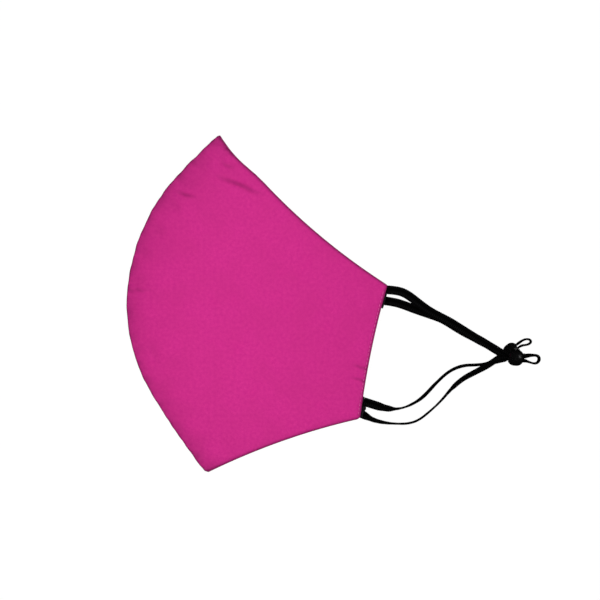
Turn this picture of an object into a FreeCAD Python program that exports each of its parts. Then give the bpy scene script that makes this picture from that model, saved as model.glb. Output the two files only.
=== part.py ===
import FreeCAD, Part
import math
import os

os.makedirs("parts", exist_ok=True)
V = FreeCAD.Vector

# A reusable cloth half mask with two toggled ear bands, folded flat along its
# curved centre seam and lying on its right half.
# +X points from the front of the face back to the ears, +Y from chin to nose,
# +Z from the wearer's right half up to the left half.  Z = 0 is the table, and
# the origin is under the middle of the folded body.  Millimetres.

# ---- outline of one half, seen flat ----
mask_height = 168.0          # nose tip to chin tip
panel_length = 130.2         # front of the seam to the upper ear corner
nose_tip_back = 45.5         # nose tip behind the front of the seam
chin_tip_back = 41.5         # chin tip behind the front of the seam
brow_point_back = 21.65      # where the seam straightens towards the nose
brow_point_height = 60.2
kink_back = 0.2              # where the two curves of the seam meet
kink_height = 8.0
cheek_point_back = 10.3      # where the seam straightens towards the chin
cheek_point_drop = 41.6
bridge_point_back = 64.65    # where the nose edge turns towards the nose tip
bridge_point_height = 64.6
ear_top_height = 9.2         # upper ear corner above the middle
ear_edge_drop = 66.6         # lower ear corner below the upper one
ear_edge_slant = 13.7        # lower ear corner forward of the upper one
seam_nose_bow = 0.5          # rise of each curved edge over its chord
seam_brow_bow = 4.1
seam_cheek_bow = 3.75
seam_chin_bow = 1.8
chin_edge_hollow = 2.8
ear_edge_hollow = 1.4
nose_edge_hollow = 2.9
nose_tip_hollow = 1.0
length_from_origin = 64.8    # front of the seam to the origin

# ---- thickness of the folded body ----
half_rise = 4.7              # one half at its crown, from the fold plane
crown_width = 45.0           # width of the curved margin beside the seam
seam_margin = 4.6            # how far the crown would run on past the seam
outer_cloth = 0.5
filter_cloth = 0.5
lining_cloth = 0.4
ply_gap = 0.1                # air between two plies of one half
fold_gap = 0.3               # air between a half and the centre seam
seam_thickness = 0.9
seam_width = 3.0
edge_turn = 1.0              # inner plies stop this far inside the turned edges

# ---- ear hems, anchor tabs and their thread ----
hem_width = 8.0
hem_cloth = 0.4
hem_end_gap = 0.8
tab_thickness = 0.4
tab_inside = 5.0
tab_outside = 1.0
upper_tab_length = 11.5
lower_tab_length = 10.5
tab_corner_gap = 0.4
thread_width = 0.3
thread_height = 0.2
thread_inset = 1.2

# ---- nose wire and its sleeve ----
wire_width = 5.0
wire_thickness = 0.5
wire_leg = 40.0              # from the nose tip, along the edge
wire_inset = 2.1             # from the edge
sleeve_cloth = 0.3
sleeve_lap = 1.2             # sleeve beyond the wire on each side
wire_hollow = 3.2            # the wire keeps to one arc from nose tip to upper ear corner

# ---- ear bands and their toggles ----
band_width = 4.4
band_thickness = 1.0
bead_diameter = 8.1
bead_length = 8.0
bead_round = 3.4
bore_height = 5.0
bore_width = 3.2
bore_round = 0.4
left_bead_turn = -4.0        # degrees about Z
right_bead_turn = 38.0
left_bead_place = (128.7, -26.85)
right_bead_place = (127.6, -23.85)
bead_stack_gap = 0.3         # the left toggle rests over the right one

# ---- derived levels and corners ----
front_x = -length_from_origin
half_height = mask_height / 2
nose_tip = V(front_x + nose_tip_back, half_height, 0)
chin_tip = V(front_x + chin_tip_back, -half_height, 0)
seam_front = V(front_x, 0, 0)
brow_point = V(front_x + brow_point_back, brow_point_height, 0)
seam_kink = V(front_x + kink_back, kink_height, 0)
cheek_point = V(front_x + cheek_point_back, -cheek_point_drop, 0)
ear_top = V(front_x + panel_length, ear_top_height, 0)
ear_bottom = ear_top - V(ear_edge_slant, ear_edge_drop, 0)
bridge_point = V(front_x + bridge_point_back, bridge_point_height, 0)
fold_level = half_rise
lining_depth = outer_cloth + ply_gap + filter_cloth + ply_gap
inner_depth = lining_depth + lining_cloth
tab_depth = inner_depth + ply_gap
hem_depth = tab_depth + tab_thickness + ply_gap
thread_depth = hem_depth + hem_cloth
wire_depth = inner_depth + ply_gap
sleeve_depth = wire_depth + wire_thickness + ply_gap
right_bead_level = bead_diameter / 2
left_bead_level = right_bead_level + bead_diameter + bead_stack_gap


def bowed_edge(start, end, bow):
    """Arc from start to end, its middle moved right of the way it runs by bow."""
    run = (end - start).normalize()
    middle = (start + end) * 0.5 + V(run.y, -run.x, 0) * bow
    return Part.Arc(start, middle, end).toShape()


# The outline runs anticlockwise, so the cloth lies on the left of each edge.
seam_edges = [
    bowed_edge(nose_tip, brow_point, seam_nose_bow),
    bowed_edge(brow_point, seam_kink, seam_brow_bow),
    bowed_edge(seam_kink, cheek_point, seam_cheek_bow),
    bowed_edge(cheek_point, chin_tip, seam_chin_bow),
]
chin_edge = bowed_edge(chin_tip, ear_bottom, -chin_edge_hollow)
ear_edge = bowed_edge(ear_bottom, ear_top, -ear_edge_hollow)
nose_edges = [
    bowed_edge(ear_top, bridge_point, -nose_edge_hollow),
    bowed_edge(bridge_point, nose_tip, -nose_tip_hollow),
]
outline = Part.Face(Part.Wire(seam_edges + [chin_edge, ear_edge] + nose_edges))


def level_face(face, low, high):
    """The flat face as a slab between two levels above the fold plane."""
    slab = face.extrude(V(0, 0, high - low))
    slab.translate(V(0, 0, fold_level + low))
    return slab


def beside(edge, along, inward):
    """Point at a length along an edge of the outline, moved into the cloth."""
    at = edge.getParameterByLength(along)
    run = edge.tangentAt(at)
    return edge.valueAt(at) + V(-run.y, run.x, 0) * inward


def edge_strip(edge, along_from, along_to, inward_from, inward_to):
    """Flat strip that follows an edge of the outline at a distance inside it."""
    middle = (along_from + along_to) / 2
    near = [beside(edge, at, inward_from) for at in (along_from, middle, along_to)]
    far = [beside(edge, at, inward_to) for at in (along_to, middle, along_from)]
    return Part.Face(Part.Wire([
        Part.Arc(*near).toShape(),
        Part.LineSegment(near[2], far[0]).toShape(),
        Part.Arc(*far).toShape(),
        Part.LineSegment(far[2], near[0]).toShape(),
    ]))


# The crown is a turned surface: flat in the middle, with one arc down to the
# fold plane just outside a circle through nose tip, seam front and chin tip.
seam_circle = Part.Arc(nose_tip, seam_front, chin_tip).toShape().Curve
crown_foot = seam_circle.Radius + seam_margin
flat_radius = crown_foot - crown_width
crown_radius = (crown_width ** 2 + half_rise ** 2) / (2 * half_rise)


def crown_point(depth, turn):
    """Point of the crown's section, depth under its skin, turned from the top."""
    reach = flat_radius + (crown_radius - depth) * math.sin(turn)
    rise = half_rise - crown_radius + (crown_radius - depth) * math.cos(turn)
    return V(reach, 0, rise)


def crown_layer(depth_from, depth_to, lowest):
    """Layer between two depths under the crown's skin, down to a lowest level."""
    section = []
    ends = []
    for depth in (depth_from, depth_to):
        last_turn = math.acos((lowest + crown_radius - half_rise) / (crown_radius - depth))
        top = V(0, 0, half_rise - depth)
        start, middle, end = (crown_point(depth, last_turn * share) for share in (0, 0.5, 1))
        section += [Part.LineSegment(top, start).toShape(), Part.Arc(start, middle, end).toShape()]
        ends.append((top, end))
    section += [Part.LineSegment(ends[0][i], ends[1][i]).toShape() for i in (0, 1)]
    face = Part.Face(Part.Wire(Part.__sortEdges__(section)))
    layer = face.revolve(V(0, 0, 0), V(0, 0, 1), 360)
    layer.translate(seam_circle.Center + V(0, 0, fold_level))
    return layer


def ply(face, depth_from, thickness, lowest=seam_thickness / 2 + fold_gap):
    """Piece of cloth of the left half, cut to a flat face."""
    layer = crown_layer(depth_from, depth_from + thickness, lowest)
    return layer.common(level_face(face, 0, half_rise + 1)).removeSplitter()


def right_of(shape):
    """The same piece of the right half, mirrored in the fold plane."""
    return shape.mirror(V(0, 0, fold_level), V(0, 0, 1))


def write(name, shape):
    solids = shape.Solids
    assert solids and all(solid.isValid() and solid.Volume > 0 for solid in solids), name
    result = solids[0] if len(solids) == 1 else Part.makeCompound(solids)
    result.exportStep("parts/%s.step" % name)
    print("%-24s solids %d  volume %9.3f" % (name, len(solids), result.Volume))


def write_pair(name, left_shape):
    write("left_" + name, left_shape)
    write("right_" + name, right_of(left_shape))


# ---- the three plies of each half ----
turned_in = outline.makeOffset2D(-edge_turn)
hem_length = ear_edge.Length - 2 * hem_end_gap
hem_zone = edge_strip(ear_edge, 0.01, ear_edge.Length - 0.01, -1, hem_width)


def outer_shell():
    return ply(outline, 0, outer_cloth)


def filter_ply():
    above_seam = seam_thickness / 2 + fold_gap + 2 * ply_gap
    return ply(turned_in.cut(hem_zone), outer_cloth + ply_gap, filter_cloth, above_seam)


def lining():
    return ply(turned_in, lining_depth, lining_cloth)


# ---- ear hem, anchor tabs and hem thread ----
def ear_hem():
    strip = edge_strip(ear_edge, hem_end_gap, hem_end_gap + hem_length, edge_turn, hem_width)
    return ply(strip, hem_depth, hem_cloth)


def anchor_tab(along_from, length):
    """Tape that holds a band end, caught between lining and hem."""
    strip = edge_strip(ear_edge, along_from, along_from + length, -tab_outside, tab_inside)
    return ply(strip, tab_depth, tab_thickness)


def hem_thread():
    ends = (2 * hem_end_gap, ear_edge.Length - 2 * hem_end_gap)
    strip = edge_strip(ear_edge, *ends, thread_inset, thread_inset + thread_width)
    return ply(strip, thread_depth, thread_height)


# ---- nose wire with its sleeve, and the centre seam ----
def nose_strip(leg, inset, width):
    line = bowed_edge(ear_top, nose_tip, -wire_hollow)
    return edge_strip(line, line.Length - leg, line.Length - 0.01, inset, inset + width)


def nose_wire():
    """One strip of metal, folded in half at the nose."""
    leg = ply(nose_strip(wire_leg, wire_inset, wire_width), wire_depth, wire_thickness, 0)
    return leg.fuse(right_of(leg)).removeSplitter()


def nose_sleeve():
    strip = nose_strip(wire_leg + sleeve_lap, wire_inset - sleeve_lap, wire_width + 2 * sleeve_lap)
    return ply(strip, sleeve_depth, sleeve_cloth)


def centre_seam():
    """The two halves' turned-in allowances, sewn together along the curve."""
    inner = outline.makeOffset2D(-seam_width)
    chord = (chin_tip - nose_tip).normalize()
    top = nose_tip + chord * seam_width
    bottom = chin_tip - chord * seam_width
    ahead = V(-2 * nose_tip_back, 0, 0)
    front = Part.Face(Part.makePolygon([top, top + ahead, bottom + ahead, bottom, top]))
    strip = outline.cut(inner).common(front)
    return level_face(strip, -seam_thickness / 2, seam_thickness / 2)


# ---- toggles ----
def toggle_bead(place, level, turn):
    """Barrel with an upright slot for the two strands of a band."""
    barrel = Part.makeCylinder(bead_diameter / 2, bead_length, V(-bead_length / 2, 0, 0), V(1, 0, 0))
    rims = [edge for edge in barrel.Edges if isinstance(edge.Curve, Part.Circle)]
    barrel = barrel.makeFillet(bead_round, rims)
    slot = Part.makeBox(2 * bead_length, bore_width, bore_height,
                        V(-bead_length, -bore_width / 2, -bore_height / 2))
    corners = [edge for edge in slot.Edges if abs(edge.tangentAt(edge.FirstParameter).x) > 0.9]
    barrel = barrel.cut(slot.makeFillet(bore_round, corners))
    barrel.rotate(V(0, 0, 0), V(0, 0, 1), turn)
    barrel.translate(V(place[0], place[1], level))
    return barrel


# ---- ear bands: flat elastic, as straight runs and tangent arcs ----
LEFT_UPPER_RUN = [
    (66.15, 6.58, 7.5), (70.3, 6.2, 7.4), (75.3, 4.3, 7.1), (81.7, 0.2, 6.8), (91.6, -6.9, 6.9),
    (101.0, -12.4, 7.6), (110.6, -17.7, 9.3), (117.3, -21.5, 11.3), (120.9, -23.7, 12.5),
    (124.3, -25.7, 13.05),
]
LEFT_LOWER_RUN = [
    (54.25, -48.9, 7.5), (58.9, -50.2, 7.4), (63.3, -51.5, 7.2), (68.3, -52.2, 7.0), (73.3, -51.4, 6.8),
    (78.4, -48.9, 6.7), (83.4, -45.4, 6.7), (89.8, -39.3, 6.9), (96.3, -34.0, 7.3), (102.9, -31.2, 7.9),
    (109.8, -30.8, 8.9), (115.6, -29.8, 10.2), (119.8, -28.4, 11.2), (124.1, -27.0, 11.8),
]
LEFT_END_LOOP = [
    (124.87, -25.68, 12.45), (132.95, -26.24, 12.45), (134.9, -25.8, 12.45), (137.0, -25.65, 12.45),
    (139.1, -25.7, 12.45), (140.7, -26.45, 12.45), (141.2, -27.85, 12.45), (140.3, -29.25, 12.45),
    (138.7, -29.75, 12.45), (136.8, -29.3, 12.45), (132.83, -28.04, 12.45), (124.75, -27.48, 12.45),
]
RIGHT_UPPER_RUN = [
    (64.65, 1.4, 1.9), (69.0, 0.8, 2.0), (73.8, -0.8, 2.2), (79.0, -3.0, 2.4), (84.9, -5.4, 2.4),
    (92.2, -8.6, 2.4), (100.5, -12.7, 2.6), (108.6, -17.4, 3.1), (113.8, -20.4, 3.7),
    (117.7, -22.6, 4.2), (122.15, -25.1, 4.7),
]
RIGHT_LOWER_RUN = [
    (53.55, -55.65, 1.9), (56.6, -57.2, 2.1), (60.4, -58.5, 2.4), (65.3, -59.4, 2.5), (70.8, -59.6, 2.5),
    (76.2, -58.8, 2.5), (81.3, -56.6, 2.5), (86.8, -52.8, 2.5), (92.3, -47.4, 2.5), (97.6, -42.3, 2.6),
    (103.3, -37.8, 2.7), (109.3, -34.2, 2.8), (115.2, -31.1, 3.0), (119.6, -28.6, 3.2), (123.7, -26.9, 3.4),
]
RIGHT_END_LOOP = [
    (124.07, -25.66, 4.05), (130.45, -20.67, 4.05), (131.7, -19.4, 4.05), (133.3, -18.3, 4.05),
    (135.1, -17.75, 4.05), (136.6, -18.05, 4.05), (137.1, -19.2, 4.05), (136.4, -20.3, 4.05),
    (134.8, -20.75, 4.05), (133.0, -20.95, 4.05), (131.37, -21.85, 4.05), (124.99, -26.84, 4.05),
]


def band_path(name, route):
    """Straight runs joined by tangent arcs; prints the radius of each bend."""
    points = [V(*point) for point in route]
    runs = [(after - before).Length for before, after in zip(points, points[1:])]
    edges = []
    radii = []
    last = points[0]
    for i in range(1, len(points) - 1):
        back = (points[i - 1] - points[i]).normalize()
        on = (points[i + 1] - points[i]).normalize()
        half_turn = (math.pi - back.getAngle(on)) / 2
        trim = 0.45 * min(runs[i - 1], runs[i])
        radii.append(trim / math.tan(half_turn))
        start = points[i] + back * trim
        end = points[i] + on * trim
        inward = (back + on).normalize()
        rise = radii[-1] * (1 / math.cos(half_turn) - 1)
        edges.append(Part.LineSegment(last, start).toShape())
        edges.append(Part.Arc(start, points[i] + inward * rise, end).toShape())
        last = end
    edges.append(Part.LineSegment(last, points[-1]).toShape())
    print(name, "bend radii", " ".join("%.1f" % radius for radius in radii))
    return Part.Wire(edges)


def band(name, route, level_width, upright_width):
    """Flat elastic along its route, with its section kept upright."""
    path = band_path(name, route)
    start = V(*route[0])
    run = (V(*route[1]) - start).normalize()
    side = V(0, 0, 1).cross(run).normalize()
    up = run.cross(side)
    corners = [start + side * (across * level_width / 2) + up * (rise * upright_width / 2)
               for across, rise in ((1, 1), (-1, 1), (-1, -1), (1, -1), (1, 1))]
    sweep = Part.BRepOffsetAPI.MakePipeShell(path)
    sweep.setBiNormalMode(V(0, 0, 1))
    sweep.add(Part.makePolygon(corners))
    sweep.build()
    sweep.makeSolid()
    solid = Part.Solid(sweep.shape()) if sweep.shape().ShapeType != "Solid" else sweep.shape()
    print("  length %.2f  volume over section times length %.4f"
          % (path.Length, solid.Volume / (path.Length * level_width * upright_width)))
    write(name, solid)


write_pair("outer_shell", outer_shell())
write_pair("filter_ply", filter_ply())
write_pair("lining", lining())
write_pair("ear_hem", ear_hem())
write_pair("hem_thread", hem_thread())
write_pair("upper_tab", anchor_tab(ear_edge.Length - tab_corner_gap - upper_tab_length, upper_tab_length))
write_pair("lower_tab", anchor_tab(tab_corner_gap, lower_tab_length))
write_pair("nose_sleeve", nose_sleeve())
write("nose_wire", nose_wire())
write("centre_seam", centre_seam())
write("left_toggle_bead", toggle_bead(left_bead_place, left_bead_level, left_bead_turn))
write("right_toggle_bead", toggle_bead(right_bead_place, right_bead_level, right_bead_turn))
for side, upper, lower, loop in (
    ("left", LEFT_UPPER_RUN, LEFT_LOWER_RUN, LEFT_END_LOOP),
    ("right", RIGHT_UPPER_RUN, RIGHT_LOWER_RUN, RIGHT_END_LOOP),
):
    band(side + "_band_upper_run", upper, band_width, band_thickness)
    band(side + "_band_lower_run", lower, band_width, band_thickness)
    band(side + "_band_end_loop", loop, band_thickness, band_width)
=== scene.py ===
import bmesh
import bpy
import math
from mathutils import Matrix, Vector, noise


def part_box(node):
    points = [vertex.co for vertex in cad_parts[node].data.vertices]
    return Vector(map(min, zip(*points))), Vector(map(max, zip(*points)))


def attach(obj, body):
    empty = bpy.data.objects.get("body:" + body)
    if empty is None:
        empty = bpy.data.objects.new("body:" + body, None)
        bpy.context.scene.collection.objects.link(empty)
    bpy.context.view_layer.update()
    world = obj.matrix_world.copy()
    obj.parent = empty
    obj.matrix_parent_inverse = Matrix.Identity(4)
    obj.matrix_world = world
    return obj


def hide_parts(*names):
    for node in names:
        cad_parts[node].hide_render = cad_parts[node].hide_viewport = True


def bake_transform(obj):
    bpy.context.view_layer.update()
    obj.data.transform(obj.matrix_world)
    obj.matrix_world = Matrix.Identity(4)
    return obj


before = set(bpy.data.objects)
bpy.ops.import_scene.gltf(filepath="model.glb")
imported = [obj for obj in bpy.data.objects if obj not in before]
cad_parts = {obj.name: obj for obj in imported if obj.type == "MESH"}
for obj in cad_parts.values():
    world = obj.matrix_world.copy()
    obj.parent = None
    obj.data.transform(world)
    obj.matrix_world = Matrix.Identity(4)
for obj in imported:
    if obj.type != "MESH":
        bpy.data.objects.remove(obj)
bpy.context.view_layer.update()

# A cloth half mask for paint spraying and sanding, folded flat along its curved centre seam and
# lying on its right half, with a toggled elastic band behind each ear.  The sections follow the
# mask as it is sewn.  Sizes are in millimetres until MM turns them to metres.


# ---- Table, lamps and camera ----
# The mask lies on a plain white table in the soft light of a tent.  One lamp hangs close over its
# middle and a broad one stands far off beyond chin and ears; both give light without a shine.  A
# third, beyond the toggles, puts a shine on them.  The camera hangs straight above the middle of
# mask and bands.
MM = 0.001


def add_node(tree, kind, inputs={}, **settings):
    """A new node with its settings; inputs gives each socket a value or another socket."""
    node = tree.nodes.new(kind)
    for name, value in settings.items():
        setattr(node, name, value)
    for name, value in inputs.items():
        if isinstance(value, bpy.types.NodeSocket):
            tree.links.new(value, node.inputs[name])
        else:
            node.inputs[name].default_value = value
    return node


def seen_white(tree, plain, strength, share):
    """Shader that adds a share of pure white to a plain one where the camera looks at it."""
    path = add_node(tree, "ShaderNodeLightPath")
    part = add_node(tree, "ShaderNodeMath", {0: path.outputs["Is Camera Ray"], 1: share},
                    operation="MULTIPLY")
    white = add_node(tree, "ShaderNodeEmission", {"Strength": strength})
    return add_node(tree, "ShaderNodeMixShader",
                    {0: part.outputs[0], 1: plain, 2: white.outputs[0]}).outputs[0]


TABLE_SIZE = 6.0
TABLE_DROP = 0.2
TABLE_GREY = 0.88
TABLE_WHITE = (1.02, 0.97)
TENT_STRENGTH = 0.3
TENT_WHITE = (1.0, 1.0)
LAMPS = {
    "near_lamp": ((-0.05, 0.01, 0.26), (0.5, 0.1), 0.5, False),
    "far_lamp": ((0.65, -1.05, 2.1), (1.1, 1.1), 13.0, False),
    "side_lamp": ((1.03, 0.29, 0.84), (0.35, 0.35), 3.2, True),
}
CAMERA_PLACE = (21.75, 1.75)
CAMERA_HEIGHT = 1.0
CAMERA_LENS = 120.0

# The mask is folded on the level plane midway between its two outer shells.
right_shell_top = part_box("right_outer_shell")[1].z / MM
left_shell = [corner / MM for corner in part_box("left_outer_shell")]
fold_level = (left_shell[0].z + right_shell_top) / 2

world = bpy.data.worlds.new("light_tent")
world.use_nodes = True
world.cycles_visibility.glossy = False
bpy.context.scene.world = world
tent = world.node_tree
tent.nodes["Background"].inputs["Strength"].default_value = TENT_STRENGTH
tent.nodes["Background"].inputs["Color"].default_value = (1, 1, 1, 1)
tent.links.new(seen_white(tent, tent.nodes["Background"].outputs[0], *TENT_WHITE),
               tent.nodes["World Output"].inputs["Surface"])

table_mesh = bmesh.new()
bmesh.ops.create_grid(table_mesh, x_segments=1, y_segments=1, size=TABLE_SIZE / 2,
                      matrix=Matrix.Translation((0, 0, -TABLE_DROP * MM)))
table_data = bpy.data.meshes.new("table")
table_mesh.to_mesh(table_data)
table = bpy.data.objects.new("table", table_data)
bpy.context.scene.collection.objects.link(table)
table.visible_glossy = False
laminate = bpy.data.materials.new("white_laminate")
laminate.use_nodes = True
laminate.node_tree.nodes.remove(laminate.node_tree.nodes["Principled BSDF"])
board = add_node(laminate.node_tree, "ShaderNodeBsdfDiffuse",
                 {"Color": (TABLE_GREY, TABLE_GREY, TABLE_GREY, 1)})
laminate.node_tree.links.new(seen_white(laminate.node_tree, board.outputs[0], *TABLE_WHITE),
                             laminate.node_tree.nodes["Material Output"].inputs["Surface"])
table_data.materials.append(laminate)

for name, (place, size, power, shines) in LAMPS.items():
    lamp_data = bpy.data.lights.new(name, "AREA")
    lamp_data.shape = "RECTANGLE"
    lamp_data.size, lamp_data.size_y = size
    lamp_data.energy = power
    lamp = bpy.data.objects.new(name, lamp_data)
    lamp.location = place
    lamp.rotation_euler = (-Vector(place)).to_track_quat("-Z", "Y").to_euler()
    lamp.visible_camera = False
    lamp.visible_glossy = shines
    bpy.context.scene.collection.objects.link(lamp)

camera_data = bpy.data.cameras.new("camera")
camera_data.lens = CAMERA_LENS
camera = bpy.data.objects.new("camera", camera_data)
camera.location = (CAMERA_PLACE[0] * MM, CAMERA_PLACE[1] * MM, CAMERA_HEIGHT + fold_level * MM)
bpy.context.scene.collection.objects.link(camera)
bpy.context.scene.camera = camera
bpy.context.scene.view_settings.view_transform = "Standard"


# ---- Outer cloth ----
# Two panels of satin-faced polyester, cut alike and sewn together along the curved edge that runs
# down the middle of the face.  The nose and chin edges are turned in and pressed, so the cloth is
# double there.
def linear(colour):
    """sRGB hex colour as a linear one."""
    parts = [int(colour[i:i + 2], 16) / 255 for i in (0, 2, 4)]
    return [part / 12.92 if part < 0.04045 else ((part + 0.055) / 1.055) ** 2.4
            for part in parts] + [1]


def new_material(name, **surface):
    """Material with one Principled shader whose sockets are set from surface."""
    material = bpy.data.materials.new(name)
    material.use_nodes = True
    shader = material.node_tree.nodes["Principled BSDF"]
    for socket, value in surface.items():
        shader.inputs[socket.replace("_", " ")].default_value = value
    return material, material.node_tree, shader


def wave(tree, place, pitch, **settings):
    """Stripes whose pitch is given in metres; a wave texture of scale 1 repeats each pi / 10."""
    return add_node(tree, "ShaderNodeTexWave", {"Vector": place, "Scale": math.pi / 10 / pitch},
                    **settings)


def colours_between(tree, share, low, high):
    """Mix of two hex colours by a share from 0 to 1."""
    mix = add_node(tree, "ShaderNodeMix", {"Factor": share, "A": linear(low), "B": linear(high)},
                   data_type="RGBA")
    return mix.outputs["Result"]


def relief(tree, shader, height, depth, strength=1.0):
    """Bump of a depth in metres from a height between 0 and 1."""
    bump = add_node(tree, "ShaderNodeBump",
                    {"Height": height, "Distance": depth, "Strength": strength})
    tree.links.new(bump.outputs[0], shader.inputs["Normal"])


def new_piece(name, mesh, material):
    """Object made of a finished bmesh, which lies at the origin with its place in its mesh."""
    data = bpy.data.meshes.new(name)
    for face in mesh.faces:
        face.smooth = True
    mesh.to_mesh(data)
    mesh.free()
    data.materials.append(material)
    piece = bpy.data.objects.new(name, data)
    bpy.context.scene.collection.objects.link(piece)
    return piece


# Finely woven polyester with a soft sheen.  The threads are 0.2 mm apart, too fine to show, so
# the weave is drawn three times as coarse; it gives the cloth its faint mottle.
satin, tree, shader = new_material("woven_polyester_satin", Roughness=0.65, Specular_IOR_Level=0.15,
                                   Sheen_Weight=0.03, Sheen_Roughness=0.4)
THREAD_PITCH = 0.6
SLUBS_PER_MM = 0.6
PATCHES_PER_MM = 0.06
WEAVE_DEPTH = 0.1
uv = add_node(tree, "ShaderNodeUVMap", uv_map="cloth").outputs[0]
slubs = add_node(tree, "ShaderNodeTexNoise",
                 {"Vector": uv, "Scale": SLUBS_PER_MM / MM, "Detail": 4, "Roughness": 0.65})
warp = wave(tree, uv, THREAD_PITCH * MM, bands_direction="X")
weft = wave(tree, uv, THREAD_PITCH * MM, bands_direction="Y")
weave = add_node(tree, "ShaderNodeMath", {0: warp.outputs["Fac"], 1: weft.outputs["Fac"]},
                 operation="MULTIPLY")
patches = add_node(tree, "ShaderNodeTexNoise",
                   {"Vector": uv, "Scale": PATCHES_PER_MM / MM, "Detail": 3})
mottle = add_node(tree, "ShaderNodeMapRange",
                  {"Value": slubs.outputs["Fac"], "From Min": 0.3, "From Max": 0.7})
height = add_node(tree, "ShaderNodeMath", {0: weave.outputs[0], 1: mottle.outputs["Result"]},
                  operation="ADD")
half = add_node(tree, "ShaderNodeMath", {0: height.outputs[0], 1: 0.5}, operation="MULTIPLY")
threads = colours_between(tree, half.outputs[0], "C21C80", "DB3690")
shaded = add_node(tree, "ShaderNodeMapRange",
                  {"Value": patches.outputs["Fac"], "From Min": 0.35, "From Max": 0.65,
                   "To Max": 0.35})
cloudy = add_node(tree, "ShaderNodeMix",
                  {"Factor": shaded.outputs["Result"], "A": threads, "B": linear("C0267C")},
                  data_type="RGBA").outputs["Result"]
# Painted shade: the darker colour 600A3E is mixed in at the free edges, beside the seam and in the
# creases, where shade falls.
painted_shade = add_node(tree, "ShaderNodeAttribute", attribute_name="painted_shade")
painted_shade_colour = add_node(tree, "ShaderNodeMix",
                 {"Factor": painted_shade.outputs["Fac"], "A": cloudy, "B": linear("600A3E")},
                 data_type="RGBA").outputs["Result"]
tree.links.new(painted_shade_colour, shader.inputs["Base Color"])
relief(tree, shader, half.outputs[0], WEAVE_DEPTH * MM, 0.7)

# Corners of a panel, seen flat, and how far each curved edge bows from its chord.
ear_x = left_shell[1].x
top_y = left_shell[1].y
FRONT_X = ear_x - 130.2
NOSE_TIP = Vector((FRONT_X + 46.2, top_y + 1.0))
BROW_POINT = Vector((FRONT_X + 21.65, 60.2))
SEAM_KINK = Vector((FRONT_X + 0.2, 8.0))
SEAM_FRONT = Vector((FRONT_X, 0))
CHEEK_POINT = Vector((FRONT_X + 10.3, -41.6))
CHIN_TIP = Vector((FRONT_X + 39.6, -top_y - 0.9))
EAR_BOTTOM = Vector((ear_x - 13.7, -57.4))
EAR_TOP = Vector((ear_x, 9.2))
BRIDGE_POINT = Vector((FRONT_X + 64.65, 64.6))


def arc(start, end, bow):
    """Arc whose middle lies right of the way from start to end by bow: its length, and a function
    from a share of it to a point."""
    run = end - start
    across = Vector((run.y, -run.x)).normalized()
    radius = (run.length_squared / 4 + bow * bow) / (2 * bow)
    half_turn = math.asin(run.length / 2 / radius)
    centre = (start + end) / 2 + across * (bow - radius)
    along = run.normalized()

    def point(share):
        turn = (2 * share - 1) * half_turn
        return centre + (across * math.cos(turn) + along * math.sin(turn)) * radius

    return 2 * half_turn * radius, point


def chain(arcs):
    """Function from a share of the length of a chain of arcs to a point."""
    total = sum(length for length, point in arcs)

    def point(share):
        left = min(max(share, 0), 1) * total
        for length, part in arcs:
            if left <= length or part is arcs[-1][1]:
                return part(left / length)
            left -= length

    return point


def softened(line):
    """The same edge with its corners eased."""
    def point(share):
        reach = min(0.05, share, 1 - share)
        return (line(share - reach) + line(share) * 2 + line(share + reach)) / 4

    return point


seam_line = chain([arc(CHIN_TIP, CHEEK_POINT, -0.9), arc(CHEEK_POINT, SEAM_KINK, -3.75),
                   arc(SEAM_KINK, BROW_POINT, -4.1), arc(BROW_POINT, NOSE_TIP, -0.4)])
chin_line = chain([arc(CHIN_TIP, EAR_BOTTOM, -2.55)])
ear_line = chain([arc(EAR_BOTTOM, EAR_TOP, -1.4)])
nose_line = softened(chain([arc(NOSE_TIP, BRIDGE_POINT, 1.7), arc(BRIDGE_POINT, EAR_TOP, 2.9)]))
wire_line = chain([arc(NOSE_TIP - Vector((0.7, 1.0)), EAR_TOP, 3.2)])


def on_panel(along, up):
    """Point of the flat panel: along from seam to ear and up from chin to nose, each 0 to 1."""
    sides = seam_line(up) * (1 - along) + ear_line(up) * along
    ends = chin_line(along) * (1 - up) + nose_line(along) * up
    corners = ((CHIN_TIP * (1 - along) + EAR_BOTTOM * along) * (1 - up)
               + (NOSE_TIP * (1 - along) + EAR_TOP * along) * up)
    return sides + ends - corners


# The folded mask is 9.4 mm thick and falls away over the last 45 mm towards the seam.  Its left
# half rises from the fold plane and its right half hangs under it.
SIDES = {"left": 1, "right": -1}
half_rise = left_shell[1].z - fold_level
CROWN_WIDTH = 45.0
CROWN_PAST_SEAM = 4.6
chord = NOSE_TIP - SEAM_FRONT
other_chord = CHIN_TIP - SEAM_FRONT
turned = Vector((chord.length_squared * other_chord.y - other_chord.length_squared * chord.y,
                 other_chord.length_squared * chord.x - chord.length_squared * other_chord.x))
crown_centre = SEAM_FRONT + turned / (2 * (chord.x * other_chord.y - chord.y * other_chord.x))
crown_foot = (crown_centre - SEAM_FRONT).length + CROWN_PAST_SEAM

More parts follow.
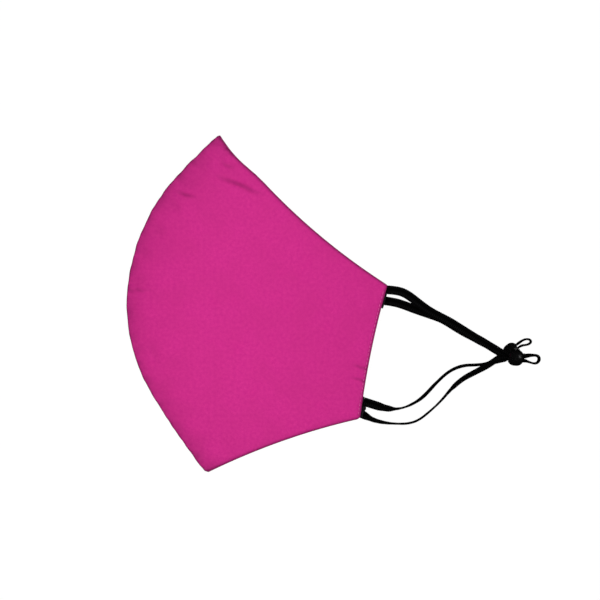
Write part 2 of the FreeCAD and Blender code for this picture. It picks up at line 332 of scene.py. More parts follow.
# Creases from packing, each with its ends, width and depth, and how far it is thrown up beside.
CREASES = {
    "left": [
        ((-17.5, 79.2), (-11.0, 73.6), 1.2, 0.60, 0.15),
        ((-18.5, 71.0), (-11.0, 67.2), 1.4, 0.50, 0.10),
        ((-19.0, 63.6), (2.0, 55.0), 1.5, 0.95, 0.30),
        ((-40.0, 56.0), (-30.5, 52.8), 1.3, 0.75, 0.20),
        ((-44.0, 50.0), (-36.0, 45.5), 2.6, 0.50, 0.10),
        ((-52.0, 39.0), (-45.0, 33.5), 2.8, 0.50, 0.10),
        ((-58.0, 28.0), (-52.0, 24.5), 2.4, 0.35, 0.10),
        ((-64.5, 7.0), (-52.0, 6.2), 1.0, 0.45, 0.15),
        ((48.5, -30.4), (56.5, -33.2), 1.0, 0.60, 0.20),
        ((47.0, -36.6), (55.5, -39.2), 0.9, 0.50, 0.15),
        ((-54.0, -20.0), (-47.0, -31.0), 2.4, 0.30, 0.10),
    ],
    "right": [
        ((-22.0, 60.0), (-4.0, 66.0), 1.8, 0.60, 0.0),
        ((-40.0, -36.0), (-28.0, -48.0), 1.6, 0.45, 0.0),
        ((40.0, -6.0), (54.0, -2.0), 1.5, 0.45, 0.0),
    ],
}
CREASE_FADE = 0.2
FLAT_SWELL = 0.3
LEFT_SWELL = 0.8


def creased(side, x, y):
    """How far the creases push the cloth up or down at a point, and how sharply it is pressed,
    which sets how much shade is painted into the crease.
    """
    moved = 0.0
    sharp = 0.0
    for number, (start, end, width, depth, lip) in enumerate(CREASES[side]):
        start, end = Vector(start), Vector(end)
        run = end - start
        share = (Vector((x, y)) - start).dot(run) / run.length_squared
        if not -CREASE_FADE < share < 1 + CREASE_FADE:
            continue
        fade = math.sin(math.pi * (share + CREASE_FADE) / (1 + 2 * CREASE_FADE)) ** 2
        off = (Vector((x, y)) - start - run * share).dot(Vector((-run.y, run.x)).normalized())
        off = off / width - 0.6 * noise.noise(Vector((share * 3, number, 4.0)))
        moved += fade * (lip * math.exp(-(off + 1.2) ** 2) - depth * math.exp(-off * off))
        sharp += fade * depth / width * math.exp(-(off / 0.7) ** 2)
    return moved, sharp


def rise_at(side, x, y):
    """Height of the outer face over the fold plane, with its swells and creases."""
    crown = min(max((crown_foot - (Vector((x, y)) - crown_centre).length) / CROWN_WIDTH, 0), 1)
    seed = SIDES[side] * 7.3
    swell = (noise.noise(Vector((x / 34, y / 34, seed))) - 0.45) * FLAT_SWELL
    swell += noise.noise(Vector((x / 11, y / 13, seed + 5))) * FLAT_SWELL * 0.22
    rise = half_rise * (2 * crown - crown * crown) + swell * crown + creased(side, x, y)[0]
    return min(rise, half_rise + LEFT_SWELL if side == "left" else half_rise)


def eased(value, low, high):
    """0 below low, 1 above high, and smooth between."""
    part = min(max((value - low) / (high - low), 0), 1)
    return part * part * (3 - 2 * part)


# The cloth rolls in over the seam and comes back to meet the other half on the fold plane, where
# the two laps cross a little.  Its free edges are pressed down and its corners are rounded; the
# filter ply is cut rounder at its corners.
ROLL_ROWS = 7
ROLL_FROM = math.radians(-70)
ROLL_TO = math.radians(90)
ROLL_TALL = 1.94
ROLL_UNEVEN = 0.3
SEAM_LAP = 0.35
PUCKER = 0.35
EDGE_ROUND = 1.1
EDGE_DROP = 0.4
EDGE_SAG = 0.25
CORNER_ROUND = 2.0
FILTER_CORNER_ROUND = 6.0
CORNER_PULLS = ((NOSE_TIP, 0.5), (CHIN_TIP, 0.5), (EAR_TOP, 0.1), (EAR_BOTTOM, 0.3))
HEM_STITCH = 1.1
STITCH_SINK = 0.16
ROWS = ((132, 180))

# Share of the darker colour painted in as shade at the free edges, beside the seam and in the
# creases.
EDGE_PAINTED_SHADE = (0.75, 0.08)
SEAM_PAINTED_SHADE = (0.25, 0.36, 0.12)
CREASE_PAINTED_SHADE = 0.6
MOST_PAINTED_SHADE = 0.8


def crowded(share):
    """Spreads rows over a panel so that they lie closer near its edges."""
    return share - 0.5 * math.sin(2 * math.pi * share) / (2 * math.pi)


def panel_piece(name, side, material, thickness, depth, layer, nose=0.0, chin=0.0, ear=0.0,
                reach=None):
    """One ply of one half.  Its mesh is the outer face; a Solidify gives it its thickness at its
    depth inside, scaled by layer(rise, from_edge).  nose, chin and ear say how far the ply stops
    inside those edges; it reaches from the seam, or from further in."""
    across, up = ROWS
    first = ROLL_ROWS if reach is None else 0
    ply = bmesh.new()
    bmesh.ops.create_grid(ply, x_segments=first + across, y_segments=up, size=1)
    uv_layer = ply.loops.layers.uv.new("cloth")
    scaled = ply.verts.layers.deform.verify()
    painted_shade_layer = ply.verts.layers.float.new("painted_shade")
    flat = {}
    corner_round = CORNER_ROUND if reach is None else FILTER_CORNER_ROUND
    for vertex in ply.verts:
        row = round((vertex.co.x + 1) / 2 * (first + across))
        share_up = crowded((vertex.co.y + 1) / 2)
        width = (ear_line(share_up) - seam_line(share_up)).length
        edge = seam_line(share_up)
        roll = rise_at(side, edge.x, edge.y) / ROLL_TALL
        roll *= 1 + ROLL_UNEVEN * noise.noise(Vector((edge.x / 2.6, edge.y / 2.6,
                                                      3.1 * SIDES[side])))
        start = roll if reach is None else reach
        if row < first:
            turn = ROLL_FROM + (ROLL_TO - ROLL_FROM) * row / first
            from_seam = roll * (1 - math.cos(turn))
        else:
            from_seam = start + (width - ear - start) * crowded((row - first) / across)
        pucker = noise.noise(Vector((edge.x / 4.5, edge.y / 4.5, 9.0))) * PUCKER
        pucker *= math.exp(-from_seam / 2.5)
        along = (from_seam + 0.15 - pucker) / width
        tall = (nose_line(along) - chin_line(along)).length
        from_chin = chin + (tall - chin - nose) * share_up
        from_nose = tall - from_chin
        from_ear = width - from_seam
        point = on_panel(along, from_chin / tall)
        for corner, pull in CORNER_PULLS:
            away = (point - corner).length
            if away < corner_round:
                point -= corner.normalized() * pull * (corner_round - away) ** 2 / corner_round
        from_edge = max(min(from_nose, from_chin, from_ear), 0)
        rise = rise_at(side, point.x, point.y)
        if row < first:
            rise = roll * (math.sin(turn) - math.sin(ROLL_FROM))
        drop = EDGE_DROP * (1 - math.sqrt(1 - (1 - min(from_edge / EDGE_ROUND, 1)) ** 2))
        drop += EDGE_SAG * math.exp(-min(from_nose, from_chin) / 3.5)
        drop += STITCH_SINK * math.exp(-((from_ear - HEM_STITCH) / 0.6) ** 2)
        height = max(rise - min(drop, rise * 0.6), 0)
        if row == 0 and reach is None:
            height = -SEAM_LAP
        vertex.co = Vector((point.x, point.y, fold_level + SIDES[side] * height)) * MM
        flat[vertex] = Vector((point.x, point.y)) * MM
        vertex[scaled][0] = min(max(layer(height, min(from_nose, from_chin)), 0.02), 1)
        # Painted shade, stored for each point: darkest at the free edges and right beside the seam,
        # fading over the next millimetres, unevenly and more towards the nose, and in the creases.
        uneven_seam_shade = 1 + 0.9 * noise.noise(Vector((edge.x / 3.2, edge.y / 3.2, from_seam / 6)))
        wide_seam_shade = 1 + 0.2 * point.y / top_y + noise.noise(Vector((point.x / 8, point.y / 8, 2.0)))
        vertex[painted_shade_layer] = min(EDGE_PAINTED_SHADE[0] * math.exp(-from_edge * from_edge)
                                    + EDGE_PAINTED_SHADE[1] * math.exp(-from_edge / 2.5)
                                    + SEAM_PAINTED_SHADE[0] * math.exp(-(from_seam / 0.7) ** 2)
                                    + SEAM_PAINTED_SHADE[1] * uneven_seam_shade * math.exp(-from_seam / 3.0)
                                    + SEAM_PAINTED_SHADE[2] * wide_seam_shade * math.exp(-from_seam / 14)
                                    + CREASE_PAINTED_SHADE * creased(side, point.x, point.y)[1],
                                    MOST_PAINTED_SHADE)
    for face in ply.faces:
        for loop in face.loops:
            loop[uv_layer].uv = flat[loop.vert]
    if side == "right":
        bmesh.ops.reverse_faces(ply, faces=ply.faces)
    piece = new_piece(name, ply, material)
    piece.vertex_groups.new(name="layer")
    solid = piece.modifiers.new("thickness", "SOLIDIFY")
    solid.thickness = thickness * MM
    solid.offset = -1 - 2 * depth / thickness
    solid.vertex_group = "layer"
    solid.thickness_vertex_group = 0
    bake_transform(piece)
    return piece


OUTER_CLOTH = 0.5
TURNED_CLOTH = 1.1
TURNED_WIDTH = 6.0
TURNED_STEP = 1.5
THIN_RISE = 0.5
PLY_STACK = 2.2
LEAST_PACKED = 0.24
EDGE_BEVEL = 0.18
SHARP_EDGE = math.radians(50)


def packed(rise):
    """How much of their full depth the plies have where the mask is thin, beside the seam."""
    return min(max((rise - THIN_RISE) / PLY_STACK, LEAST_PACKED), 1)


def outer_layer(rise, from_edge):
    """Share of the turned cloth's thickness: double at nose and chin, single further in."""
    turned_in = 1 - eased(from_edge, TURNED_WIDTH, TURNED_WIDTH + TURNED_STEP)
    wanted = OUTER_CLOTH + (TURNED_CLOTH - OUTER_CLOTH) * turned_in
    return min(wanted, 1.05 * packed(rise), max(rise * 0.8, 0.1)) / TURNED_CLOTH


for side in SIDES:
    piece = panel_piece(side + "_outer_cloth", side, satin, TURNED_CLOTH, 0, outer_layer)
    edge_bevel = piece.modifiers.new("pressed_edge", "BEVEL")
    edge_bevel.width = EDGE_BEVEL * MM
    edge_bevel.segments = 2
    edge_bevel.limit_method = "ANGLE"
    edge_bevel.angle_limit = SHARP_EDGE
    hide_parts(side + "_outer_shell")


# ---- Filter ply ----
# Melt-blown nonwoven between outer cloth and lining: white and matt, bonded in dots 2 mm apart.  It
# stops short of the turned edges and of the ear hem, and is caught in the centre seam.
nonwoven, tree, shader = new_material("bonded_nonwoven", Roughness=0.9, Specular_IOR_Level=0.2,
                                      Sheen_Weight=0.1)
uv = add_node(tree, "ShaderNodeUVMap", uv_map="cloth").outputs[0]
fibres = add_node(tree, "ShaderNodeTexNoise", {"Vector": uv, "Scale": 1.6 / MM, "Detail": 6})
dots = add_node(tree, "ShaderNodeTexVoronoi", {"Vector": uv, "Scale": 0.5 / MM, "Randomness": 0.0})
bonded = add_node(tree, "ShaderNodeMath", {0: dots.outputs["Distance"], 1: fibres.outputs["Fac"]},
                  operation="MULTIPLY")
tree.links.new(colours_between(tree, fibres.outputs["Fac"], "DEDEDA", "F6F6F2"),
               shader.inputs["Base Color"])
relief(tree, shader, bonded.outputs[0], 0.15 * MM)

FILTER_CLOTH = 0.4
FILTER_DEPTH = 0.6
FILTER_INSET = TURNED_WIDTH + 2.0
FILTER_FROM_SEAM = 1.2
HEM_WIDTH = 8.0
for side in SIDES:
    piece = panel_piece(side + "_filter", side, nonwoven, FILTER_CLOTH, FILTER_DEPTH,
                        lambda rise, from_edge: packed(rise),
                        nose=FILTER_INSET, chin=FILTER_INSET, ear=HEM_WIDTH + 0.5,
                        reach=FILTER_FROM_SEAM)
    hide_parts(side + "_filter_ply")


# ---- Lining ----
# Soft cotton inside, sewn to the outer cloth at nose and chin and turned out with it, so its edge
# lies a little inside the pressed edge.  It is matt, pale grey and a little uneven; its threads
# are 0.3 mm apart and are drawn coarser, so that they show.
COTTON_PITCH = 0.8
cotton, tree, shader = new_material("plain_woven_cotton", Roughness=0.88, Specular_IOR_Level=0.2,
                                    Sheen_Weight=0.12, Sheen_Roughness=0.5)
uv = add_node(tree, "ShaderNodeUVMap", uv_map="cloth").outputs[0]
warp = wave(tree, uv, COTTON_PITCH * MM, bands_direction="X")
weft = wave(tree, uv, COTTON_PITCH * MM, bands_direction="Y")
weave = add_node(tree, "ShaderNodeMath", {0: warp.outputs["Fac"], 1: weft.outputs["Fac"]},
                 operation="MULTIPLY")
lint = add_node(tree, "ShaderNodeTexNoise", {"Vector": uv, "Scale": 0.4 / MM, "Detail": 4})
thick = add_node(tree, "ShaderNodeMath", {0: weave.outputs[0], 1: lint.outputs["Fac"]},
                 operation="MULTIPLY")
tree.links.new(colours_between(tree, thick.outputs[0], "CFC6CB", "EFE9EC"),
               shader.inputs["Base Color"])
relief(tree, shader, weave.outputs[0], WEAVE_DEPTH * MM)

LINING_CLOTH = 0.4
LINING_DEPTH = 1.15
LINING_INSET = 1.0
for side in SIDES:
    piece = panel_piece(side + "_lining_cloth", side, cotton, LINING_CLOTH, LINING_DEPTH,
                        lambda rise, from_edge: packed(rise),
                        nose=LINING_INSET, chin=LINING_INSET, ear=LINING_INSET)
    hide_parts(side + "_lining")


# ---- Centre seam ----
# The two outer panels' allowances, of the satin itself.  They are sewn face to face along the
# curve, trimmed to 3 mm and hidden inside the fold.
def strip_piece(name, material, rows, place, size, thickness, offset=-1.0, flip=False, layer=None):
    """Narrow strip of cloth, tape or metal.  place(along, across) gives its points in millimetres
    from shares of its length and width, and size its length and width for the weave."""
    strip = bmesh.new()
    bmesh.ops.create_grid(strip, x_segments=rows[0], y_segments=rows[1], size=1)
    uv_layer = strip.loops.layers.uv.new("cloth")
    scaled = strip.verts.layers.deform.verify()
    flat = {}
    for vertex in strip.verts:
        along, across = (vertex.co.x + 1) / 2, (vertex.co.y + 1) / 2
        flat[vertex] = Vector((along * size[0], across * size[1])) * MM
        point = place(along, across)
        vertex.co = point * MM
        vertex[scaled][0] = 1 if layer is None else layer(abs(point.z - fold_level))
    for face in strip.faces:
        for loop in face.loops:
            loop[uv_layer].uv = flat[loop.vert]
    if flip:
        bmesh.ops.reverse_faces(strip, faces=strip.faces)
    piece = new_piece(name, strip, material)
    piece.vertex_groups.new(name="layer")
    solid = piece.modifiers.new("thickness", "SOLIDIFY")
    solid.thickness = thickness * MM
    solid.offset = offset
    solid.vertex_group = "layer"
    rounded = piece.modifiers.new("edges", "BEVEL")
    rounded.width = thickness * 0.3 * MM
    rounded.segments = 2
    rounded.limit_method = "ANGLE"
    rounded.angle_limit = SHARP_EDGE
    return piece


def beside(line, share, inward, hand):
    """Point at a share of an edge, moved off it to the left (1) or right (-1) of its run."""
    run = (line(share + 0.002) - line(share - 0.002)).normalized()
    return line(share) + Vector((-run.y, run.x)) * hand * inward


def whole_length(line):
    """Length of an edge, added up in short steps."""
    return sum((line((step + 1) / 100) - line(step / 100)).length for step in range(100))


seam_length = whole_length(seam_line)
SEAM_ALLOWANCE = (0.5, 3.0)
SEAM_THICKNESS = 0.8
SEAM_END = 0.012
SEAM_WAVE = 0.1


def seam_place(along, across):
    inward = SEAM_ALLOWANCE[0] + (SEAM_ALLOWANCE[1] - SEAM_ALLOWANCE[0]) * across
    point = beside(seam_line, SEAM_END + (1 - 2 * SEAM_END) * along,
                   inward + SEAM_WAVE * math.sin(along * 160), -1)
    return Vector((point.x, point.y, fold_level))


seam = strip_piece("centre_seam_allowance", satin, (160, 4), seam_place,
                   (seam_length, SEAM_ALLOWANCE[1]), SEAM_THICKNESS, offset=0)
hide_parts("centre_seam")
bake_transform(seam)


# ---- Nose wire ----
# A soft aluminium strip, 5 mm wide and dull from rolling, lies along both nose edges inside the
# lining.  It is folded in half at the nose with the mask, and a cotton sleeve is sewn over each
# leg.  Its fold and the sleeves' first ends are pressed flatter than the cloth over them.
aluminium, tree, shader = new_material("rolled_aluminium_strip", Metallic=1.0, Roughness=0.42)
place = add_node(tree, "ShaderNodeTexCoord").outputs["Object"]
grain = add_node(tree, "ShaderNodeTexNoise", {"Vector": place, "Scale": 0.7 / MM, "Detail": 4})
tree.links.new(colours_between(tree, grain.outputs["Fac"], "B9BBBE", "DADCDE"),
               shader.inputs["Base Color"])
relief(tree, shader, grain.outputs["Fac"], 0.02 * MM)

wire_edge = whole_length(wire_line)
WIRE_WIDTH = 5.0
WIRE_THICKNESS = 0.5
WIRE_DEPTH = 1.7
WIRE_LEG = 40.0
WIRE_FOLD = 6.0
WIRE_EASE = 6.0
WIRE_PRESSED = 0.55
WIRE_INSET = 2.1
SLEEVE_CLOTH = 0.3
SLEEVE_DEPTH = 2.3
SLEEVE_LAP = 1.2
SLEEVE_START = 9.0
SLEEVE_EASE = 8.0
SLEEVE_PRESSED = 0.14
fold_point = beside(wire_line, WIRE_FOLD / wire_edge, WIRE_INSET + WIRE_WIDTH / 2, -1)
fold_rise = WIRE_PRESSED * rise_at("left", fold_point.x, fold_point.y)
straight = WIRE_LEG - WIRE_FOLD
wire_length = 2 * straight + math.pi * fold_rise


def wire_place(along, across):
    """Down the left leg, round the fold at the nose, and back along the right leg."""
    gone = along * wire_length
    turn = min(max((gone - straight) / fold_rise, 0), math.pi)
    from_tip = (WIRE_FOLD - fold_rise * math.sin(turn)
                + max(straight - gone, gone - wire_length + straight, 0))
    point = beside(wire_line, from_tip / wire_edge, WIRE_INSET + WIRE_WIDTH * across, -1)
    rise = fold_rise * math.cos(turn)
    if turn in (0, math.pi):
        side = "left" if turn == 0 else "right"
        near = eased(from_tip, WIRE_FOLD, WIRE_FOLD + WIRE_EASE)
        rise = SIDES[side] * (fold_rise + (rise_at(side, point.x, point.y) - fold_rise) * near)
    return Vector((point.x, point.y, fold_level + rise))


wire = strip_piece("nose_strip", aluminium, (150, 6), wire_place, (wire_length, WIRE_WIDTH),
                   WIRE_THICKNESS, offset=-1 - 2 * WIRE_DEPTH / WIRE_THICKNESS, flip=False,
                   layer=lambda rise: packed(max(rise, fold_rise)))
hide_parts("nose_wire")
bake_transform(wire)

for side in SIDES:
    def sleeve_place(along, across, side=side):
        from_tip = SLEEVE_START + (WIRE_LEG + SLEEVE_LAP - SLEEVE_START) * along
        inward = WIRE_INSET - SLEEVE_LAP + (WIRE_WIDTH + 2 * SLEEVE_LAP) * across
        point = beside(wire_line, from_tip / wire_edge, inward, -1)
        flattened = 1 - SLEEVE_PRESSED * (1 - eased(from_tip, SLEEVE_START,
                                                    SLEEVE_START + SLEEVE_EASE))
        return Vector((point.x, point.y,
                       fold_level + SIDES[side] * flattened * rise_at(side, point.x, point.y)))

    sleeve = strip_piece(side + "_nose_strip_sleeve", cotton, (60, 10), sleeve_place,
                         (WIRE_LEG, WIRE_WIDTH + 2 * SLEEVE_LAP), SLEEVE_CLOTH,
                         offset=-1 - 2 * SLEEVE_DEPTH / SLEEVE_CLOTH, flip=side == "left",
                         layer=packed)
    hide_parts(side + "_nose_sleeve")
    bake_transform(sleeve)


# ---- Band tabs ----
# Short pieces of matt black tape, closely woven, that hold the band ends.  They are sewn between
# lining and ear hem, and show for a millimetre past the ear edge.
tape, tree, shader = new_material("woven_black_tape", Roughness=0.8, Specular_IOR_Level=0.25,
                                  Sheen_Weight=0.1)
uv = add_node(tree, "ShaderNodeUVMap", uv_map="cloth").outputs[0]
picks = wave(tree, uv, 0.7 * MM, bands_direction="DIAGONAL")
ends = wave(tree, uv, 0.9 * MM, bands_direction="Y")
braid = add_node(tree, "ShaderNodeMath", {0: picks.outputs["Fac"], 1: ends.outputs["Fac"]},
                 operation="MULTIPLY")
tree.links.new(colours_between(tree, braid.outputs[0], "08070A", "221C24"),
               shader.inputs["Base Color"])
relief(tree, shader, braid.outputs[0], 0.12 * MM)

ear_length = whole_length(ear_line)
TAB_THICKNESS = 0.4
TAB_DEPTH = 1.7
TAB_OUTSIDE = 1.0
TAB_INSIDE = 5.0
TABS = {"upper": (ear_length - 11.9, ear_length - 0.4), "lower": (0.4, 10.9)}
FRAYED = 0.12
FRAYED_OUT = 1.4


def at_ear(side, along, inward, depth):
    """Point beside the ear edge, a depth under the outer face."""
    point = beside(ear_line, along / ear_length, inward, 1)
    return Vector((point.x, point.y,
                   fold_level + SIDES[side] * (rise_at(side, point.x, point.y) - depth)))


ear_pieces = {side: [] for side in SIDES}
for side in SIDES:
    for level, (low, high) in TABS.items():
        def tab_place(along, across, side=side, level=level, low=low, high=high):
            frayed = FRAYED * noise.noise(Vector((along * 9, low, SIDES[side])))
            if level == "lower":
                frayed -= FRAYED_OUT * (1 - across) * math.exp(-((along - 0.47) / 0.17) ** 2)
            inward = -TAB_OUTSIDE + (TAB_INSIDE + TAB_OUTSIDE) * across + frayed
            return at_ear(side, low + (high - low) * along, inward, TAB_DEPTH)

        tab = strip_piece("%s_%s_tape_tab" % (side, level), tape, (24, 12), tab_place,
                          (high - low, TAB_INSIDE + TAB_OUTSIDE), TAB_THICKNESS,
                          flip=side == "right")
        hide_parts("%s_%s_tab" % (side, level))
        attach(tab, side + "_half")
        ear_pieces[side].append(tab)


# ---- Ear hems and their stitching ----
# A facing of the outer cloth, 8 mm wide, covers the tabs inside each ear edge.  One row of stitches
# in a slightly lighter thread goes through every ply, 1.1 mm inside the edge.
thread, tree, shader = new_material("twisted_polyester_thread", Roughness=0.5,
                                    Specular_IOR_Level=0.4, Sheen_Weight=0.15)
place = add_node(tree, "ShaderNodeTexCoord").outputs["Object"]
twist = wave(tree, place, 0.35 * MM, bands_direction="DIAGONAL")
tree.links.new(colours_between(tree, twist.outputs["Fac"], "CC3D8D", "DA5AA2"),
               shader.inputs["Base Color"])
relief(tree, shader, twist.outputs["Fac"], 0.04 * MM)

HEM_CLOTH = 0.4
HEM_DEPTH = 2.2
HEM_INSET = 1.0
HEM_END_GAP = 0.8
STITCH_PITCH = 2.1
STITCH_SIZE = (1.65, 0.34, 0.26)
STITCH_LEAN = math.radians(4)
STITCH_DEPTHS = (0.12, HEM_DEPTH + HEM_CLOTH - 0.1)
HEM_RIPPLE = 0.06
HEM_PULL = 0.12

for side in SIDES:
    def hem_place(along, across, side=side):
        at = HEM_END_GAP + (ear_length - 2 * HEM_END_GAP) * along
        inward = HEM_INSET + (HEM_WIDTH - HEM_INSET) * across
        ripple = HEM_RIPPLE * noise.noise(Vector((at / 3, across * 2, 4.0 * SIDES[side])))
        pulled = HEM_PULL * math.exp(-((inward - HEM_STITCH) / 0.6) ** 2)
        return at_ear(side, at, inward, HEM_DEPTH - pulled + ripple)

    hem = strip_piece(side + "_ear_hem_facing", satin, (120, 14), hem_place,
                      (ear_length, HEM_WIDTH), HEM_CLOTH, flip=side == "right")
    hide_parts(side + "_ear_hem")
    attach(hem, side + "_half")

    stitches = bmesh.new()
    count = int((ear_length - 4 * HEM_END_GAP) / STITCH_PITCH)
    for depth in STITCH_DEPTHS:
        for number in range(count):
            at = 2 * HEM_END_GAP + STITCH_PITCH * (number + 0.5)
            middle = at_ear(side, at, HEM_STITCH, depth)
            run = at_ear(side, at + 0.5, HEM_STITCH, depth) - middle
            lean = math.atan2(run.y, run.x) + STITCH_LEAN
            size = [value / 2 * MM for value in STITCH_SIZE]
            lay = Matrix.LocRotScale(middle * MM, Matrix.Rotation(lean, 3, "Z"), Vector(size))
            bmesh.ops.create_uvsphere(stitches, u_segments=8, v_segments=6, radius=1, matrix=lay)
    row = new_piece(side + "_hem_stitches", stitches, thread)
    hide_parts(side + "_hem_thread")
    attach(row, side + "_half")
    ear_pieces[side] += [hem, row]


# ---- Ear bands ----
# Knitted elastic 4.4 mm wide, black, with four ribs along it and looped edges.  Each band runs from
# the upper tab to the toggle and back from the toggle to the lower tab; its end, drawn through the
# toggle, stands on edge as a small loop.
# Knitted polyester over rubber: dull and near black, with light caught on the ribs and loops.
elastic, tree, shader = new_material("knitted_elastic", Roughness=0.8, Specular_IOR_Level=0.015)
uv = add_node(tree, "ShaderNodeUVMap", uv_map="cloth").outputs[0]
loops = wave(tree, uv, 1.0 * MM, bands_direction="X")
ribs = wave(tree, uv, 1.0 * MM, bands_direction="Y")
knit = add_node(tree, "ShaderNodeMath", {0: loops.outputs["Fac"], 1: ribs.outputs["Fac"]},
                operation="MULTIPLY")
tree.links.new(colours_between(tree, knit.outputs[0], "020202", "121213"),
               shader.inputs["Base Color"])
relief(tree, shader, knit.outputs[0], 0.12 * MM)

BAND_WIDTH = 4.4
BAND_THICKNESS = 1.0
SECTION_POINTS = 28
RIB_HEIGHT = 0.04
LOOP_HEIGHT = 0.07
LOOP_PITCH = 1.0
SQUARE_ACROSS = 0.45
SQUARE_UP = 0.6
CURVE_STEPS = 28

# Each route is the band's centre line; the turn says how far the band has rolled from lying flat,
# in degrees, at shares of its length.
BANDS = {
    "left_band_upper_run": (
        [(65.1, 6.83, 7.51), (70.3, 6.55, 7.4), (75.3, 4.6, 7.1), (81.7, -0.5, 6.8),
         (86.7, -4.1, 6.8), (91.6, -6.65, 6.9), (96.3, -9.05, 7.2), (101, -12, 7.6),
         (105.8, -15.05, 8.3), (110.6, -18.1, 9.3), (117.3, -21.7, 11.3), (120.9, -23.9, 12.4),
         (125.6, -26, 12.7)],
        [(0, 0), (0.7, 4), (0.87, 34), (0.97, 50), (0.995, 76), (1, 80)], 0.070),
    "left_band_lower_run": (
        [(53.6, -48.9, 7.51), (58.9, -50.6, 7.4), (63.3, -52, 7.2), (68.3, -52.8, 7),
         (73.3, -52.1, 6.8), (78.4, -49.95, 6.7), (83.4, -46.6, 6.7), (89.8, -39.4, 6.9),
         (96.3, -33.5, 7.3), (102.9, -30.8, 7.9), (109.8, -30.6, 8.9), (115.6, -29.9, 10.2),
         (119.8, -28.3, 11.4), (125.6, -27, 12.2)],
        [(0, 0), (0.07, 8), (0.148, 45), (0.213, 78), (0.245, 88), (0.318, 76), (0.4, 69),
         (0.47, 70), (0.527, 74), (0.61, 74), (0.685, 73), (0.755, 76), (0.82, 76), (0.93, 54),
         (0.97, 52), (0.995, 76), (1, 80)], 0.080),
    "left_band_end_loop": (
        [(124.87, -25.68, 12.45), (132.95, -26.24, 12.45), (134.9, -25.8, 12.45),
         (137, -25.65, 12.45), (139, -25.7, 12.45), (140.2, -26.45, 12.45),
         (140.45, -27.85, 12.45), (139.7, -29.25, 12.45), (138.4, -29.8, 12.45),
         (136.6, -29.5, 12.45), (132.83, -28.1, 12.45), (124.75, -27.5, 12.45)],
        [(0, 84), (0.18, 82), (0.23, 57), (0.26, 63), (0.29, 66), (0.32, 70), (0.36, 76),
         (0.4, 80), (0.5, 83), (0.6, 89), (0.66, 91), (0.7, 96), (0.735, 105), (0.77, 110),
         (0.82, 98), (1, 94)], 0.034),
    "right_band_upper_run": (
        [(64, 1.4, 1.89), (69, 0.7, 2), (73.8, -0.75, 2.2), (79, -2.8, 2.4), (84.9, -4.8, 2.4),
         (92.2, -7.3, 2.4), (96.3, -9.6, 2.5), (100.5, -12.3, 2.6), (104.6, -14.7, 2.8),
         (108.6, -16.7, 3.1), (113.8, -19.5, 3.7), (117.7, -22, 4.2), (121, -24.2, 4.6),
         (124.7, -26.2, 4.8)],
        [(0, 0), (0.7, 4), (0.88, 30), (0.96, 38), (1, 60)], 0.066),
    "right_band_lower_run": (
        [(52.4, -55.2, 1.82), (56.6, -57.6, 2.1), (60.4, -59, 2.4), (65.3, -59.95, 2.5),
         (70.8, -60.3, 2.5), (76.2, -60.2, 2.5), (81.3, -58.5, 2.5), (86.8, -54.1, 2.5),
         (92.3, -49, 2.5), (97.6, -42.6, 2.6), (103.3, -37.6, 2.7), (109.3, -34.5, 2.8),
         (115.2, -31.4, 3), (119.6, -28.4, 3.2), (122.6, -26.3, 3.4), (125.4, -25.6, 3.6)],
        [(0, 20), (0.075, 60), (0.12, 68), (0.16, 75), (0.2, 84), (0.26, 90), (0.4, 89),
         (0.46, 86), (0.505, 83), (0.555, 78), (0.605, 71), (0.65, 59), (0.7, 57), (0.74, 54),
         (0.785, 52), (0.88, 47), (0.96, 46), (0.99, 76), (1, 84)], 0.083),
    "right_band_end_loop": (
        [(124, -25.58, 4.05), (130.28, -20.4, 4.05), (131.7, -19.4, 4.05), (133.3, -18.3, 4.05),
         (135.1, -17.75, 4.05), (136.8, -18.05, 4.05), (137.4, -19.2, 4.05), (136.4, -20.3, 4.05),
         (134.8, -20.75, 4.05), (133, -20.95, 4.05), (131.3, -21.65, 4.05),
         (125.06, -26.92, 4.05)],
        [(0, 88), (0.22, 84), (0.3, 76), (0.38, 84), (0.46, 89), (0.62, 91), (0.7, 99),
         (0.78, 95), (1, 92)], 0.031),
}


def smooth_line(name, route, resolution):
    """Points of the smooth curve that the band's centre follows, in metres."""
    curve = bpy.data.curves.new(name + "_line", "CURVE")
    curve.dimensions = "3D"
    spline = curve.splines.new("NURBS")
    spline.points.add(len(route) - 1)
    for point, place in zip(spline.points, route):
        point.co = (*(value * MM for value in place), 1)
    spline.order_u = 3
    spline.use_endpoint_u = True
    spline.resolution_u = resolution
    holder = bpy.data.objects.new(name + "_line", curve)
    line = bpy.data.meshes.new_from_object(holder)
    points = [vertex.co.copy() for vertex in line.vertices]
    bpy.data.objects.remove(holder)
    bpy.data.meshes.remove(line)
    return points


def at_share(stations, share):
    """Value at a share of the length, eased between the stations on each side."""
    for (before, low), (after, high) in zip(stations, stations[1:]):
        if share <= after:
            part = (share - before) / (after - before)
            return low + (high - low) * part * part * (3 - 2 * part)
    return stations[-1][1]


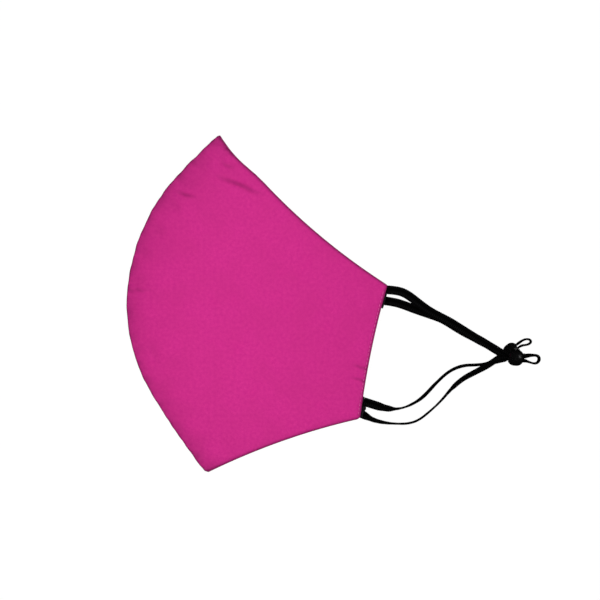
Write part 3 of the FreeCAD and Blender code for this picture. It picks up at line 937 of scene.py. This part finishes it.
def elastic_band(name, route, turns):
    """Closed band with ribbed faces and looped edges, and the points of its centre line."""
    line = smooth_line(name, route, CURVE_STEPS)
    lengths = [0]
    for before, after in zip(line, line[1:]):
        lengths.append(lengths[-1] + (after - before).length)
    band = bmesh.new()
    bmesh.ops.create_grid(band, x_segments=len(line) - 1, y_segments=SECTION_POINTS, size=1)
    uv_layer = band.loops.layers.uv.new("cloth")
    around = {}
    for vertex in band.verts:
        along = round((vertex.co.x + 1) / 2 * (len(line) - 1))
        angle = (vertex.co.y + 1) * math.pi
        across = math.copysign(abs(math.cos(angle)) ** SQUARE_ACROSS, math.cos(angle))
        rise = math.copysign(abs(math.sin(angle)) ** SQUARE_UP, math.sin(angle))
        half_width = BAND_WIDTH / 2 + LOOP_HEIGHT * math.cos(2 * math.pi * lengths[along] / MM
                                                             / LOOP_PITCH)
        half_height = BAND_THICKNESS / 2 + RIB_HEIGHT * math.cos(4 * math.pi * across)
        run = (line[min(along + 1, len(line) - 1)] - line[max(along - 1, 0)]).normalized()
        side = Vector((0, 0, 1)).cross(run).normalized()
        turn = Matrix.Rotation(math.radians(at_share(turns, lengths[along] / lengths[-1])), 3, run)
        around[vertex] = (lengths[along], (vertex.co.y + 1) * BAND_WIDTH * MM)
        vertex.co = line[along] + turn @ (side * across * half_width
                                          + run.cross(side) * rise * half_height) * MM
    for face in band.faces:
        for loop in face.loops:
            loop[uv_layer].uv = around[loop.vert]
    bmesh.ops.remove_doubles(band, verts=band.verts, dist=0.001 * MM)
    bmesh.ops.holes_fill(band, edges=[edge for edge in band.edges if edge.is_boundary])
    bmesh.ops.recalc_face_normals(band, faces=band.faces)
    return new_piece(name.replace("band", "elastic"), band, elastic), line


for name, (route, turns, length) in BANDS.items():
    side = name.split("_")[0]
    piece, line = elastic_band(name, route, turns)
    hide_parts(name)
    if name.endswith("end_loop"):
        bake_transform(piece)
    else:
        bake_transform(piece)


# ---- Toggles ----
# Each band is shortened with a moulded bead of soft black silicone, which grips its two strands in
# an upright slot.  The surface is matt from the mould, with a dull shine.
silicone, tree, shader = new_material("moulded_black_silicone", Roughness=0.34,
                                      Specular_IOR_Level=0.5)
place = add_node(tree, "ShaderNodeTexCoord").outputs["Object"]
bloom = add_node(tree, "ShaderNodeTexNoise", {"Vector": place, "Scale": 0.35 / MM, "Detail": 5})
tree.links.new(colours_between(tree, bloom.outputs["Fac"], "070707", "0B0B0C"),
               shader.inputs["Base Color"])
skin = add_node(tree, "ShaderNodeTexNoise", {"Vector": place, "Scale": 2.2 / MM, "Detail": 3})
relief(tree, shader, skin.outputs["Fac"], 0.03 * MM)
for side in SIDES:
    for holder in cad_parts[side + "_toggle_bead"].material_slots:
        holder.material = silicone
